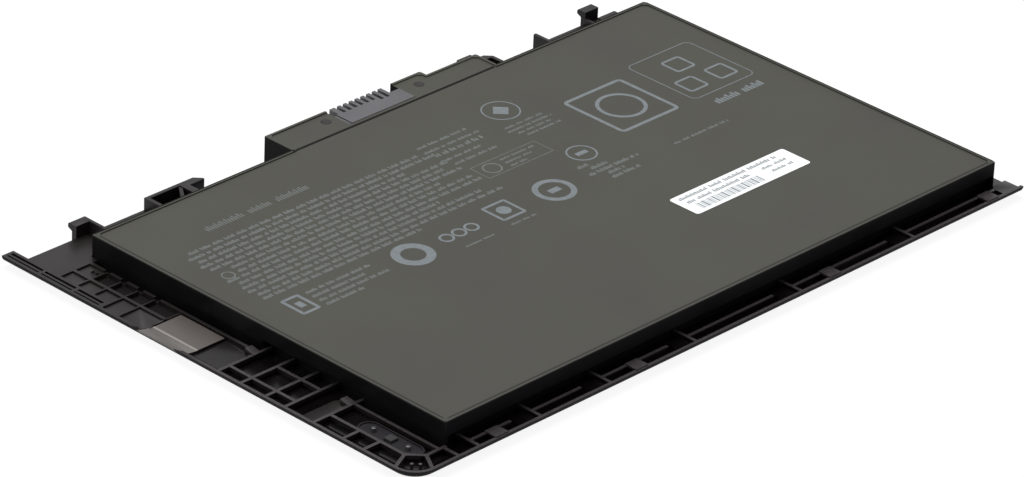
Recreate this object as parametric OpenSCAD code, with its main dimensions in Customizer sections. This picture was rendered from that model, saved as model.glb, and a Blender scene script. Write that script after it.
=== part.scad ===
// Flat battery pack that closes the front left part of a thin laptop's underside.
// It lies on its outer skin with the label up. Millimetres, +Z up, +X along the long
// side and +Y towards the connector. Places are counted from the raised body's front
// left corner and the skin's underside, and placed() moves them to the part's origin,
// the middle of the underside of the whole pack.

/* [Raised body] */
// Length of the raised body, left to right
body_l = 238; // [234:1:256]
// Depth of the raised body, front to rear
body_w = 147.4; // [146:0.2:156]
// Height of the top rim above the underside of the skin
body_h = 10.2; // [9.8:0.1:12]
// Thickness of the body's side walls
wall_t = 1.2; // [1:0.1:1.5]
// Thickness of the roof over the cells
roof_t = 0.8; // [0.6:0.05:1.1]
// Width of the raised rim round the label
rim_w = 1; // [0.7:0.1:1.6]
// Depth of the label field below the rim
field_drop = 0.35; // [0.2:0.05:0.6]
// Thickness of the label film
film_t = 0.15; // [0.1:0.05:0.25]
// Distance of the film's edge from the body's side
film_inset = 0.25; // [0.1:0.05:0.4]
// Corner cut of the label field
field_cut = 1.4; // [0.6:0.1:2.4]
// Corner cut of the body's upright edges
body_cut = 0.5; // [0.2:0.1:1]

/* [Outer skin] */
// Thickness of the skin
skin_t = 1.2; // [1:0.1:1.6]
// Reach of the skin past the body on the left
flange_left = 19.5; // [18:0.5:24]
// Reach of the skin past the body in front
flange_front = 7.5; // [7:0.5:10]
// Reach of the skin past the body on the right
flange_right = 5; // [3:0.5:8]
// Reach of the skin behind the body where nothing hooks in
flange_rear = 1.5; // [0.5:0.25:2.5]
// Height of the flange rim and of the ribs
flange_h = 3; // [2.7:0.1:3.8]
// Thickness of the flange rim
rim_t = 1.1; // [0.9:0.1:1.4]
// Width of the rounded lower edge of the skin
edge_run = 4.5; // [4:0.5:7]
// Radius of the front left corner
corner_r = 8; // [7.5:0.5:12]
// Distance from the rim's outer face to the flat floor
slope_run = 4.2; // [3.4:0.2:5]
// Depth of the slope's top below the rim
slope_drop = 0.6; // [0.4:0.1:1]
// Thickness of the ribs
rib_t = 1.1; // [0.8:0.1:1.4]
// Gap between the skin's ribs and the body
seat_gap = 0.1; // [0.05:0.05:0.2]
// Thickness of the lip that locates the cover
lip_t = 1; // [0.8:0.1:1.3]
// Height of the lip above the floor
lip_h = 2; // [1.2:0.1:2.2]
// Depth of the recess under the body's front wall and beside the deep cells
under_d = 2.8; // [2.4:0.1:3]
// Height of the recess's top above the underside
under_z = 5.5; // [4.8:0.1:6]

/* [Left flange] */
// Reach of the side rail behind the body
rail_out = 17.6; // [16:0.2:22]
// Width of the side rail over its walls
rail_w = 4.6; // [4.4:0.1:5.4]
// Distance of the side rail's front end behind the grid's front edge
rail_gap = 18.6; // [16:0.2:21]
// Distance of the rail's front cross rib in front of the plate's front edge
rail_rib_front = 9; // [6:0.2:12]
// Distance of the rail's rear cross rib behind the plate's front edge
rail_rib_rear = 5.4; // [3:0.2:8]
// Width of the ridge along the rail
ridge_w = 0.8; // [0.6:0.1:1]
// Distance from the outer face to the middle of the ridge
ridge_in = 2.1; // [1.9:0.1:2.4]
// Distance of the smooth plate's front edge in front of the body's rear
plate_in = 3.2; // [2:0.1:5]
// Reach of the smooth plate and of the rear hooks' roots behind the body
plate_out = 11; // [10:0.1:12.5]
// Front edge of the shallow grid
grid_start = 104.8; // [104.4:0.2:107]
// Depth of the shallow grid below the rib tops
grid_drop = 0.6; // [0.4:0.1:0.9]
// Depth of the cells beside the body below the rib tops
inner_drop = 1.3; // [1:0.1:1.5]
// Pitch of the shallow grid's cross ribs
grid_pitch = 7.2; // [6:0.1:9]
// Width of the notches in the rib beside the body, at the grid's cross ribs
notch_w = 2.2; // [1.2:0.1:2.8]
// Depth of the notches in the rib beside the body
notch_d = 1.1; // [0.6:0.1:1.4]
// Distance of the inner rib's middle from the body
inner_rib = 2.75; // [2.2:0.05:3.2]
// Distance of the grid's middle rib from the body
grid_rib = 9.5; // [8:0.25:11]
// Front edge of the finger scoop
scoop_start = 85.8; // [84.2:0.2:87]
// Rear edge of the finger scoop
scoop_end = 104.3; // [102:0.2:104.4]
// Depth of the scoop's flat below the rib tops
scoop_drop = 0.45; // [0.3:0.05:0.7]
// Depth of the scoop's outer edge below the rib tops
scoop_low = 1; // [1:0.1:1.6]
// Distance of the scoop's crease from the body
scoop_crease = 14.6; // [13:0.2:15.4]
// Distance of the scoop's inner edge from the body
scoop_in = 3.8; // [3.6:0.1:5]
// Depth of the flat recess in front of the scoop
recess_drop = 1.3; // [0.9:0.1:1.5]
// Distance of the outer rib of the deep cells from the body
deep_rib = 14.2; // [13:0.2:15]
// Distance of the inner rib of the deep cells from the body
deep_rib_in = 4.4; // [3.9:0.1:5.5]
// Width of the two latch blocks beside the body
latch_w = 2.8; // [2.4:0.1:3.4]
// Length of the two latch blocks beside the body
latch_l = 3.9; // [3.4:0.1:5]
// Height of the front latch blocks above the rib tops
latch_rise = 0.3; // [0.1:0.1:0.6]
// Distance of the two latch blocks' middle from the body
latch_in = 3.6; // [3.2:0.1:4]
// Height of the two latch blocks' rear edge above the rib tops
latch_high = 0.8; // [0.6:0.1:1.2]
// Drop of the two latch blocks' tops towards the front
latch_tilt = 0.7; // [0.3:0.1:1]
// Depth of the tongue beside the front latch block below the rib tops
tongue_drop = 0.8; // [0.5:0.1:1.1]
// Width of the tongue
tongue_w = 5.8; // [5:0.2:6.4]
// Radius of the outer corners at the scoop's two ends
fan_r = 5; // [2.4:0.1:5]
// Diameter of the small pips that stand between the ribs
pip_d = 1; // [0.8:0.1:1.2]
// Distance of the front and rear pip beside the plate from its front edge
plate_pips = [5.3, 3.6];

/* [Front flange] */
// Distance of the front rail from the body
front_rail = 2.8; // [2.2:0.1:3.2]
// Width of the front latch blocks
block_w = 5; // [4:0.25:6]
// Depth of the front pads below the rib tops
pad_drop = 0.9; // [0.6:0.1:1.2]
// Width of the pads, left of each cross rib
pad_w = 7; // [5:0.25:8]
// Length of the slope at a pad's left end
pad_slope = 1; // [0.6:0.1:1.4]
// Gap between a rail's end and the next pad
rail_stop = 1.5; // [1.2:0.1:2.4]
// Distance of the last cross rib from the body's right side
last_rib = 45; // [40:0.5:50]
// Distance of the last latch block from the body's right side
last_block = 8.6; // [7:0.2:10]

/* [Rear hooks] */
// Height of the rear hooks above the underside
hook_h = 7.1; // [6.4:0.1:7.6]
// Thickness of the hooks' top bars
hook_bar = 1.5; // [1.2:0.1:2]
// Depth of the hooks' posts, front to rear
hook_post = 1.9; // [1.5:0.1:2.4]
// Overhang of the hooks' bars behind their posts
hook_over = 1.7; // [1:0.1:2.2]
// Height of the slope under a hook's bar
hook_slope = 0.8; // [0.4:0.1:1.2]
// Bevel on a hook's nose
hook_nose = 0.4; // [0.2:0.1:0.6]
// Left edge of the left hook
hook_x = 3.9; // [1.5:0.1:5]
// Width of the left hook
hook_w = 6.3; // [5:0.1:9]
// Left edge of the open box
box_x = 31.2; // [29:0.2:34]
// Length of the open box
box_l = 22; // [20:0.5:26]
// Wall thickness of the open box
box_t = 1.3; // [1:0.1:1.8]
// Length of the open box's left cell
box_cell = 12.1; // [10:0.1:12.5]
// Thickness of the web between the box's cells
box_web = 2.6; // [1.4:0.1:2.8]
// How far the slanted rib in the box's left cell runs to the left
box_brace = 6.5; // [5:0.1:8]
// Depth of the slanted rib below the box's top
brace_drop = 0.3; // [0.2:0.1:0.8]
// Corner cut at the right end of the open box and the lug
box_cut = 2.2; // [1.4:0.1:2.8]
// Length of the lug right of the connector housing
lug_l = 7.6; // [6:0.2:10]
// Distance of the prongs' left end from the right side of the housing's step
prong_in = 3; // [2.4:0.1:3.6]
// Width of the two prongs together
prong_w = 5.6; // [4.8:0.1:6.4]
// Side of the square notch between the prongs
prong_notch = 1.2; // [0.8:0.1:1.6]
// Distance of the right ledge's left rib from the body's right side
ledge_in = 39.5; // [36:0.5:44]
// Distance of the right ledge's end from the body's right side
ledge_out = 2; // [1:0.25:4]
// Distance of the right hook from the body's right side
right_hook_out = 9.8; // [8:0.2:12]
// Width of the right hook
right_hook_w = 6; // [5:0.25:9]
// Height of the web beside the right hook above the underside
hook_web_h = 5; // [4:0.1:6]
// Depth of the raised rear edge of the right ledge
ledge_edge = 3; // [2:0.1:4]

/* [Connector housing] */
// Distance of the connector housing's left edge from the body's middle
housing_left = 37.5; // [35:0.5:40]
// Length of the connector housing
housing_l = 67.1; // [65:0.5:70]
// Reach of the connector housing behind the body
housing_out = 12.2; // [11.5:0.1:13]
// Length of the lower step right of the housing
step_l = 21.8; // [19:0.2:24]
// Reach of the step behind the body
step_out = 9.3; // [8.5:0.1:10.5]
// Distance of the connector bay from the housing's left edge
bay_left = 25.8; // [24.5:0.1:27.5]
// Length of the connector bay
bay_l = 28.4; // [28:0.1:30]
// Distance of the bay's front edge behind the body's rear
bay_in = 1; // [0.6:0.1:1.4]
// Width of the groove between the label and the housing's roof
groove_w = 0.6; // [0.4:0.1:0.9]
// Distance of the groove's middle in front of the body's rear
groove_in = 0.8; // [0.5:0.1:1.4]
// Depth of the groove below the label
groove_d = 0.45; // [0.3:0.05:0.55]
// Diameter of the heat stakes' posts
stake_d = 2.4; // [2:0.1:2.8]
// Diameter of the heat stakes' heads
stake_head = 3.2; // [3:0.1:3.8]
// Distance of the left stake from the connector bay
stake_left = 4.3; // [3.4:0.1:6]
// Distance of the right stake from the connector bay
stake_right = 6.8; // [4:0.1:9]
// Distance of the left stake behind the bay's front edge
stake_left_y = 6; // [5:0.1:7]
// Distance of the right stake behind the bay's front edge
stake_right_y = 5.4; // [4.4:0.1:6]

/* [Connector] */
// Pitch of the contact slots
slot_pitch = 2.5; // [2.45:0.01:2.55]
// Width of a contact slot
slot_w = 1.2; // [1.1:0.05:1.4]
// Length of a contact slot
slot_l = 4.3; // [4:0.1:4.8]
// Extra length of the last two slots
slot_extra = 1.3; // [0.8:0.1:1.6]
// Thickness of the first fin
fin_first = 2; // [1.6:0.1:2.2]
// Thickness of the last fin
fin_last = 1.4; // [1.2:0.1:1.8]
// Distance of the first fin from the bay's left side
fin_in = 2; // [1.6:0.1:2.3]
// Thickness of the connector's base
conn_base = 2; // [1.7:0.1:2.2]
// Depth of the connector's top below the rim
conn_drop = 0.2; // [0.1:0.05:0.4]
// Gap between the connector and the bay
conn_gap = 0.1; // [0.05:0.05:0.2]
// Thickness of a contact leaf
leaf_t = 0.25; // [0.2:0.05:0.3]
// Length of a contact
leaf_l = 3; // [2.4:0.1:3.4]
// Height of a contact leaf
leaf_h = 3.4; // [2.8:0.1:3.6]
// Side of a contact's tail
tail_w = 0.6; // [0.5:0.05:0.7]
// Distance of the contacts' middle from the connector's rear
contact_in = 2.5; // [2.2:0.1:2.6]
// Clearance of a contact in its slot
contact_gap = 0.03; // [0.02:0.01:0.05]
// Drop of the connector's left end below its top
end_drop = 0.4; // [0.2:0.1:0.8]

/* [Cells] */
// Distance of the outer cells from the body's left and right sides
cell_side = 4.6; // [4.5:0.1:6]
// Free length of the tabs between the cells and the board
tab_run = 10; // [8:0.5:13]
// Thickness of a cell
cell_t = 6; // [5.4:0.1:6.2]
// Gap between neighbouring cells
cell_gap = 1.6; // [1.5:0.1:1.7]
// Distance of the cells from the body's front
cell_front = 4.6; // [4.5:0.1:5.4]
// Length of the sealed terrace at a cell's tabs
terrace_l = 5; // [4:0.25:5.5]
// Thickness of the sealed terrace
terrace_t = 0.45; // [0.35:0.05:0.6]
// Thickness of the folded side seals
fold_t = 0.5; // [0.4:0.05:0.7]
// Height of the folded side seals
fold_h = 4; // [3:0.1:4.6]
// Edge cut of a cell's body
cell_cut = 0.8; // [0.5:0.1:1.2]
// Width of a cell tab
tab_w = 6; // [5:0.25:7]
// Thickness of a cell tab
tab_t = 0.15; // [0.1:0.05:0.2]
// Distance of each tab's middle from its side of the cell
tab_in = 14; // [11:0.5:17]
// Thickness of the adhesive tape under a cell
tape_t = 0.2; // [0.1:0.05:0.3]
// Distance of the tape's edges from the cell's edges
tape_in = 11; // [6:0.5:14]
// Distance of the foam pad's sides from the cell's sides
foam_in = 4; // [2:0.5:8]
// Distance of the foam pad's ends from the cell's ends
foam_end = 8; // [4:0.5:12]
// Thickness of the ribs between the cells
divider_t = 0.8; // [0.6:0.1:1.1]
// Height of the ribs between the cells above the floor
divider_h = 3.6; // [2.4:0.1:4.4]

/* [Board] */
// Thickness of the board
board_t = 0.8; // [0.6:0.1:1]
// Distance of the board's left end from the body's left side
board_x = 16; // [12:0.5:20]
// Distance of the board's right end from the body's right side
board_right = 16; // [12:0.5:20]
// Depth of the board, front to rear
board_w = 14.6; // [14:0.1:15]
// Distance of the board's rear edge from the body's rear
board_rear = 1.8; // [1.7:0.1:2.2]
// Overhang of the board under the connector, past the bay's sides
board_ear = 2.8; // [2:0.1:3.4]
// Thickness of the nickel link strips
link_t = 0.2; // [0.15:0.05:0.3]
// Width of the nickel link strips
link_w = 3; // [2.4:0.1:3.4]
// Overlap of the tabs on the board
tab_lap = 4.5; // [4:0.1:5]
// Distance of the strips from the tabs' rear ends
strip_in = 0.4; // [0.2:0.05:0.6]
// Thickness of the polyimide tape on the strips
tape_film = 0.06; // [0.05:0.01:0.1]
// Length of the thermal cutoff
cutoff_l = 5; // [4:0.25:5.5]
// Thickness of the thermal cutoff
cutoff_t = 1.1; // [0.8:0.1:1.2]
// Width of a thermistor's bead
bead_w = 2.4; // [2:0.1:2.8]
// Height of a thermistor's bead
bead_h = 1.2; // [0.9:0.1:1.4]
// Distance between a thermistor's leads
lead_pitch = 1.4; // [1:0.1:1.6]
// Width of a thermistor's lead
lead_w = 0.3; // [0.25:0.05:0.4]
// Diameter of the board's pins
pin_d = 1.6; // [1.2:0.1:2]
// Height of the pins above the board
pin_rise = 0.5; // [0.3:0.1:0.8]
// Diameter of the posts that carry the board
post_d = 4; // [3.2:0.2:4.4]
// Distance of the outer posts from the board's ends
post_in = 10; // [6:0.5:12]
// Distance of the posts from the board's rear edge
post_back = 3; // [2.4:0.1:3.4]
// Distance of the second post from the board's left end
mid_post = 74; // [72:0.5:76]
// Distance of the third post from the connector's ear
right_post = 14; // [8:0.5:16]
// Distance of the protector chip from the board's left end
protector_in = 40; // [30:1:46]
// Distance of the gauge chip from the board's left end
gauge_in = 52; // [46:0.5:53]
// Distance of the small components from the board's left end
small_in = 61; // [60:0.25:62]
// Pitch of the small components
small_pitch = 1.8; // [1.4:0.1:2]
// Distance of the charge transistor from the connector's ear
mosfet_in = 20; // [18:0.5:22]
// Pitch of the two transistors
mosfet_pitch = 7; // [6:0.25:8]
// Distance of the fuse from the connector's ear
fuse_in = 36; // [34.5:0.25:37]
// Distance of the sense resistor from the connector's ear
shunt_in = 44; // [42.5:0.25:46]
// Clearance round each pin, peg and stake
pin_gap = 0.1; // [0.05:0.05:0.15]
// Thickness of the insulating strip under the tabs
insulator_t = 0.3; // [0.2:0.05:0.4]

/* [Foot] */
// Width of the rubber foot
foot_w = 5.2; // [4.4:0.1:5.6]
// Length of the rubber foot
foot_l = 22; // [18:0.5:23]
// How far the foot stands out of the skin
foot_proud = 0.8; // [0.5:0.1:1.2]
// Depth of the foot's recess in the skin
foot_sunk = 1; // [0.7:0.1:1.2]
// Distance of the foot's middle from the body's left side
foot_x = 8.1; // [7.8:0.1:8.4]
// Distance of the foot's middle behind the body's front
foot_y = 13.2; // [12.8:0.1:14]
// Wall round and over the foot's recess
foot_wall = 1; // [0.8:0.1:1.1]
// Diameter of the foot's pegs
peg_d = 1.5; // [1.2:0.1:1.8]
// Distance between the foot's pegs
peg_pitch = 13.8; // [12:0.2:15]
// Height of the pegs above the pocket
peg_h = 1.1; // [0.8:0.1:1.3]
// Side of the foot's middle stem
stem_w = 3; // [2.4:0.1:3.4]
// Height of the pegs above the stem
stem_drop = 0.3; // [0.2:0.1:0.5]
// Height of the raised ring round the pocket's top
ring_h = 0.35; // [0.2:0.05:0.4]

/* [Sticker] */
// Length of the white sticker
sticker_l = 50.8; // [44:0.2:56]
// Width of the white sticker
sticker_w = 12; // [11:0.1:16]
// Thickness of the white sticker
sticker_t = 0.12; // [0.08:0.01:0.2]
// Distance of the sticker's left end from the body's left side
sticker_x = 144.6; // [138:0.2:150]
// Distance of the sticker's front edge from the body's front
sticker_y = 37.6; // [30:0.2:44]

/* [Hidden] */
cells = 4;
slots = 8;
$fn = 32;

// Extra reach of a cut past the face that it opens
eps = 0.2;
// Depth that a rib or boss is sunk into the skin
root = skin_t / 2;

// Edges of the left flange's plate and rail
rail_start = grid_start + rail_gap;
rail_end = body_w + rail_out;
plate_start = body_w - plate_in;
plate_end = body_w + plate_out;

// The pack's box, and the move from the body's corner to the origin
pack_x0 = -flange_left;
pack_x1 = body_l + flange_right;
pack_y0 = -flange_front;
pack_y1 = rail_end;
origin = [(pack_x0 + pack_x1) / 2, (pack_y0 + pack_y1) / 2, -foot_proud];

// Levels of the label field and the roof
field_z = body_h - field_drop;
roof_z = field_z - film_t;
ceiling_z = roof_z - roof_t;
cover_rim_z = body_h - film_t;

// The connector housing and its bay
housing_x = body_l / 2 - housing_left;
bay_x = housing_x + bay_left;
housing_x1 = housing_x + housing_l;
housing_y = body_w + housing_out;
step_x1 = housing_x1 + step_l;
step_y = body_w + step_out;
bay_x1 = bay_x + bay_l;
bay_y = body_w + bay_in;

// Places of the cells and the board
tab_z = skin_t + tape_t + cell_t / 2;
cells_l = body_l - 2 * cell_side;
cell_w = (cells_l - (cells - 1) * cell_gap) / cells;
tab_neg = tab_in;
tab_pos = cell_w - tab_in;
board_y1 = body_w - board_rear;
board_y0 = board_y1 - board_w;
terrace_rear = board_y0 - tab_run;
cell_rear = terrace_rear - terrace_l;
cell_l = cell_rear - cell_front;
board_x1 = body_l - board_right;
ear_x0 = bay_x - board_ear;
ear_x1 = bay_x1 + board_ear;
ear_y = housing_y - wall_t - eps;
tab_end = board_y0 + tab_lap;
strip_y1 = tab_end - strip_in;
strip_z = tab_z + tab_t;
// Posts of the board and of its ear, and stakes of the connector housing
post_xs = [board_x + post_in, board_x + mid_post, ear_x1 + right_post, board_x1 - post_in];
post_y = board_y1 - post_back;
ear_post = 4;
stakes = [[bay_x - stake_left, bay_y + stake_left_y],
    [bay_x1 + stake_right, bay_y + stake_right_y]];
stake_z = roof_z - film_t;
stake_top = field_z + film_t / 3;

// Sizes of the board's components, and how far they lie from its rear edge
gauge = [7, 7, 1];
gauge_back = 2;
protector = [3, 3, 0.9];
mosfet = [5, 6, 1.1];
mosfet_back = 3;
fuse = [5, 3.5, 1.3];
shunt = [6.4, 3.2, 0.8];
chip_back = 4;
small_parts = 6;
capacitor = [0.8, 1.6, 0.8];
capacitor_back = 3;
resistor = [0.5, 1, 0.4];
resistor_back = 6;

// Places of the ribs and blocks, from the body's front left corner
rail_ys = [plate_start - rail_rib_front, plate_start + rail_rib_rear];
deep_ys = [33.6, 45.3, 53.3, 63.4, 72.8];
short_ys = [13.4, 21.6];
foot_rib_x = -12.1;
guard_x = -inner_rib;
corner_in = [foot_rib_x, 3.8];
corner_out = [-7.8, -rib_t / 2];
joint_d = 1.5 * rib_t;
corner_left = [-flange_left + rim_t / 2, 0.6];
corner_front = [-11.4, -flange_front + rim_t];
corner_rib_x = -1.2;
corner_pips = [[-14.2, -1.2], [-12.5, -2.9]];
grid_pips = [[-5.4, plate_start - plate_pips[0]], [-5.6, plate_start - plate_pips[1]]];
latch_ys = [deep_ys[4], deep_ys[0]];
under_y0 = deep_ys[0] - rib_t;
under_y1 = deep_ys[4] + rib_t;
front_ribs = [7.1, 32, 60.7, 96.8, 142.4, body_l - last_rib];
front_blocks = [16, 73.5, 157.1, body_l - last_block];
front_rail_x0 = front_ribs[0];

// Points of an outline with each outer corner cut off by c
function cut_corners(p, c) = [
    for (i = [0:len(p) - 1])
        let (a = p[(i + len(p) - 1) % len(p)], b = p[i], d = p[(i + 1) % len(p)])
            each cross(b - a, d - b) > 0
                ? [b + c * (a - b) / norm(a - b), b + c * (d - b) / norm(d - b)]
                : [b]
];

// Outline of the raised body and its connector housing, moved inwards by i
function body_outline(i) = [
    [i, i],
    [body_l - i, i],
    [body_l - i, body_w - i],
    [step_x1 - i, body_w - i],
    [step_x1 - i, step_y - i],
    [housing_x1 - i, step_y - i],
    [housing_x1 - i, housing_y - i],
    [housing_x + i, housing_y - i],
    [housing_x + i, body_w - i],
    [i, body_w - i]
];

// Rounded lower edge of the skin, from the rim's top to the flat underside
edge_steps = 9;
edge_arc = [
    for (k = [0:edge_steps])
        let (a = 90 * k / edge_steps)
            [edge_run * (1 - cos(a)), flange_h * (1 - sin(a))]
];

// Left edge of the cell numbered i from 1
function cell_x(i) = cell_side + (i - 1) * (cell_w + cell_gap);

// Moves the children from the body's corner to the part's origin
module placed() {
    translate(-origin) children();
}

// Box between two opposite corners
module block(a, b) {
    translate(a) cube(b - a);
}

// Plate with the outline p between two heights
module slab(p, z0, z1) {
    translate([0, 0, z0]) linear_extrude(z1 - z0) polygon(p);
}

// Outline of a bar with round ends, centred, along Y
module bar_outline(w, l) {
    square([w, l - w], center = true);
    for (s = [-1, 1]) translate([0, s * (l - w) / 2]) circle(d = w);
}

// Section of the skin's edge, hollow inside the rim
module edge_shell() {
    polygon(concat(edge_arc, [
        [edge_run, skin_t],
        [slope_run, skin_t],
        [rim_t, flange_h - slope_drop],
        [rim_t, flange_h]
    ]));
}

// Section of the skin's edge, filled to the height of the rim
module edge_filled() {
    polygon(concat(edge_arc, [[edge_run, flange_h]]));
}

// Sweeps an edge section along the front, round the corner and along the left
module swept_edge(rear) {
    x0 = pack_x0 + corner_r;
    y0 = pack_y0 + corner_r;
    translate([x0, pack_y0, 0]) rotate([90, 0, 90]) linear_extrude(pack_x1 - x0) children();
    translate([pack_x0, rear, 0]) rotate([90, 0, 0]) linear_extrude(rear - y0) children();
    translate([x0, y0, 0]) rotate([0, 0, 180]) rotate_extrude(angle = 90)
        translate([corner_r, 0]) mirror([1, 0]) children();
}

// Flat part of the skin, inside the rounded edge
module floor_outline() {
    x0 = pack_x0 + edge_run;
    y0 = pack_y0 + edge_run;
    r = corner_r - edge_run;
    rear = body_w + flange_rear;
    translate([x0, y0 + r]) square([pack_x1 - x0, rear - y0 - r]);
    translate([x0 + r, y0]) square([pack_x1 - x0 - r, r]);
    translate([x0 + r, y0 + r]) circle(r = r);
    polygon([[x0, body_w], [box_x + box_l, body_w], [box_x + box_l, plate_end - box_cut],
        [box_x + box_l - box_cut, plate_end], [x0, plate_end]]);
    polygon([[housing_x, body_w], [step_x1 + lug_l, body_w],
        [step_x1 + lug_l, plate_end - box_cut], [step_x1 + lug_l - box_cut, plate_end],
        [housing_x1, plate_end], [housing_x1, housing_y], [housing_x, housing_y]]);
    translate([body_l - ledge_in, body_w])
        square([ledge_in - ledge_out, plate_end - body_w]);
}

// Everything that the flange's ribs may fill
module flange_envelope() {
    swept_edge(pack_y1) edge_filled();
    r = corner_r - edge_run;
    x0 = pack_x0 + edge_run;
    y0 = pack_y0 + edge_run;
    block([x0, y0 + r, 0], [pack_x1, pack_y1, flange_h]);
    block([x0 + r, y0, 0], [pack_x1, y0 + r, flange_h]);
    translate([x0 + r, y0 + r, 0]) cylinder(r = r, h = flange_h);
}

// Rib along X with its middle at y
module rib_x(y, x0, x1) {
    block([x0, y - rib_t / 2, root], [x1, y + rib_t / 2, flange_h]);
}

// Rib along Y with its middle at x
module rib_y(x, y0, y1) {
    block([x - rib_t / 2, y0, root], [x + rib_t / 2, y1, flange_h]);
}

// Rib between two points, up to the height h
module rib_line(p, q, h = flange_h) {
    d = q - p;
    translate([p[0], p[1], root]) rotate([0, 0, atan2(d[1], d[0])])
        translate([0, -rib_t / 2, 0]) cube([norm(d), rib_t, h - root]);
}

// Small round pips at the given places
module pips(places) {
    for (p = places) translate([p[0], p[1], root]) cylinder(d = pip_d, h = flange_h - root);
}

// Channelled rail at the rear of the left flange
module side_rail() {
    x0 = pack_x0 + rim_t / 2;
    x1 = pack_x0 + rail_w;
    rib_y(x1 - rib_t / 2, rail_start, rail_end);
    ridge_x = pack_x0 + ridge_in;
    block([ridge_x - ridge_w / 2, rail_start, root],
        [ridge_x + ridge_w / 2, rail_end - rib_t, flange_h]);
    for (y = concat(rail_ys, [rail_start, rail_end - rib_t / 2])) rib_x(y, x0, x1);
}

// Rounds the front outer corner of what starts at x0, y0
module rounded_front(x0, y0) {
    difference() {
        children();
        translate([0, 0, -eps]) linear_extrude(flange_h + 2 * eps) difference() {
            translate([x0 - eps, y0 - eps]) square(fan_r + eps);
            translate([x0 + fan_r, y0 + fan_r]) circle(r = fan_r);
        }
    }
}

// Section of the scoop's slope, from the crease down to the outer edge, filled to z
module scoop_section(y0, y1, z) {
    translate([0, y1, 0]) rotate([90, 0, 0]) linear_extrude(y1 - y0)
        polygon([[pack_x0, z], [-scoop_crease, z], [-scoop_crease, flange_h - scoop_drop],
            [pack_x0, flange_h - scoop_low]]);
}

// Room over the scoop's slope, where the rim is cut down for the finger
module scoop_cut() {
    y1 = grid_start + fan_r;
    difference() {
        rounded_front(pack_x0, scoop_start) union() {
            scoop_section(scoop_start, y1, flange_h + eps);
            block([pack_x0 - eps, scoop_start, flange_h - scoop_low],
                [pack_x0 + eps / 10, y1, flange_h + eps]);
        }
        translate([pack_x0 + fan_r, y1, 0]) cylinder(r = fan_r, h = flange_h + 2 * eps);
    }
}

// Smooth plate, shallow grid, finger scoop and flat recess of the left flange
module left_plates() {
    x0 = pack_x0 + rim_t / 2;
    rail_x = pack_x0 + rail_w - rib_t / 2;
    grid_x1 = guard_x + rib_t / 2;
    slab([[rail_x, plate_start], [-seat_gap, plate_start],
        [-seat_gap, body_w + seat_gap], [box_x + box_t / 2, body_w + seat_gap],
        [box_x + box_t / 2, plate_end], [rail_x, plate_end]], root, flange_h);
    pip_y = plate_start - grid_pitch;
    rounded_front(pack_x0, grid_start) slab([[x0, grid_start], [x0, rail_start],
        [rail_x, rail_start], [rail_x, plate_start + root], [grid_x1, plate_start + root],
        [grid_x1, pip_y], [-grid_rib, pip_y], [-grid_rib, grid_start]],
        root, flange_h - grid_drop);
    block([-grid_rib, grid_start, root], [grid_x1, pip_y, flange_h - inner_drop]);
    rounded_front(pack_x0, scoop_start) scoop_section(scoop_start, scoop_end, root);
    intersection() {
        scoop_section(scoop_end - root, grid_start + fan_r, root);
        block([pack_x0 - eps, scoop_start, 0], [0, plate_start, flange_h - grid_drop]);
    }
    block([-scoop_crease, scoop_start, root], [-scoop_in, scoop_end, flange_h - scoop_drop]);
    block([x0, deep_ys[4], root], [grid_x1, scoop_start, flange_h - recess_drop]);
    block([x0, scoop_start - root, root], [-scoop_crease, scoop_start + fan_r,
        flange_h - recess_drop]);
    cross_ys = [plate_start - grid_pitch:-grid_pitch:grid_start + grid_pitch];
    difference() {
        union() {
            rib_y(guard_x, deep_ys[4], plate_start);
            for (y = cross_ys)
                block([y > rail_start ? rail_x : x0, y - rib_t / 4, root],
                    [guard_x, y + rib_t / 4, flange_h]);
        }
        for (y = cross_ys)
            block([guard_x - rib_t, y - notch_w / 2, flange_h - notch_d],
                [guard_x + rib_t, y + notch_w / 2, flange_h + eps]);
    }
    block([x0 + fan_r, grid_start, root],
        [guard_x, grid_start + rib_t / 2, flange_h - grid_drop / 2]);
    rib_y(-grid_rib, grid_start, plate_start);
    pips(grid_pips);
}

// Deep cells of the left flange, from the flat recess to the foot
module deep_cells() {
    x0 = pack_x0 + rim_t / 2;
    for (y = deep_ys) rib_x(y, x0, under_d - seat_gap);
    rib_y(-deep_rib, deep_ys[1], deep_ys[4]);
    rib_y(-deep_rib_in, deep_ys[1], deep_ys[3]);
    tongue_y = deep_ys[0] + tongue_w / 2;
    block([x0, deep_ys[0], root],
        [guard_x - tongue_w / 2, deep_ys[0] + tongue_w, flange_h - tongue_drop]);
    translate([guard_x - tongue_w / 2, tongue_y, root])
        cylinder(d = tongue_w, h = flange_h - tongue_drop - root);
    for (y = short_ys) rib_x(y, x0, foot_rib_x);
    rib_y(foot_rib_x, corner_in[1], deep_ys[0]);
    rib_y(guard_x, corner_out[1], deep_ys[0]);
}

// Ribs and pips of the rounded front left corner
module corner_cells() {
    for (p = [corner_in, corner_out])
        translate([p[0], p[1], root]) cylinder(d = joint_d, h = flange_h - root);
    rib_line(corner_in, corner_out);
    rib_line(corner_in, corner_left);
    rib_line(corner_out, corner_front);
    rib_x(corner_out[1], corner_out[0], -seat_gap);
    rib_y(corner_rib_x, pack_y0 + rim_t / 2, corner_out[1]);
    pips(corner_pips);
}

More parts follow.
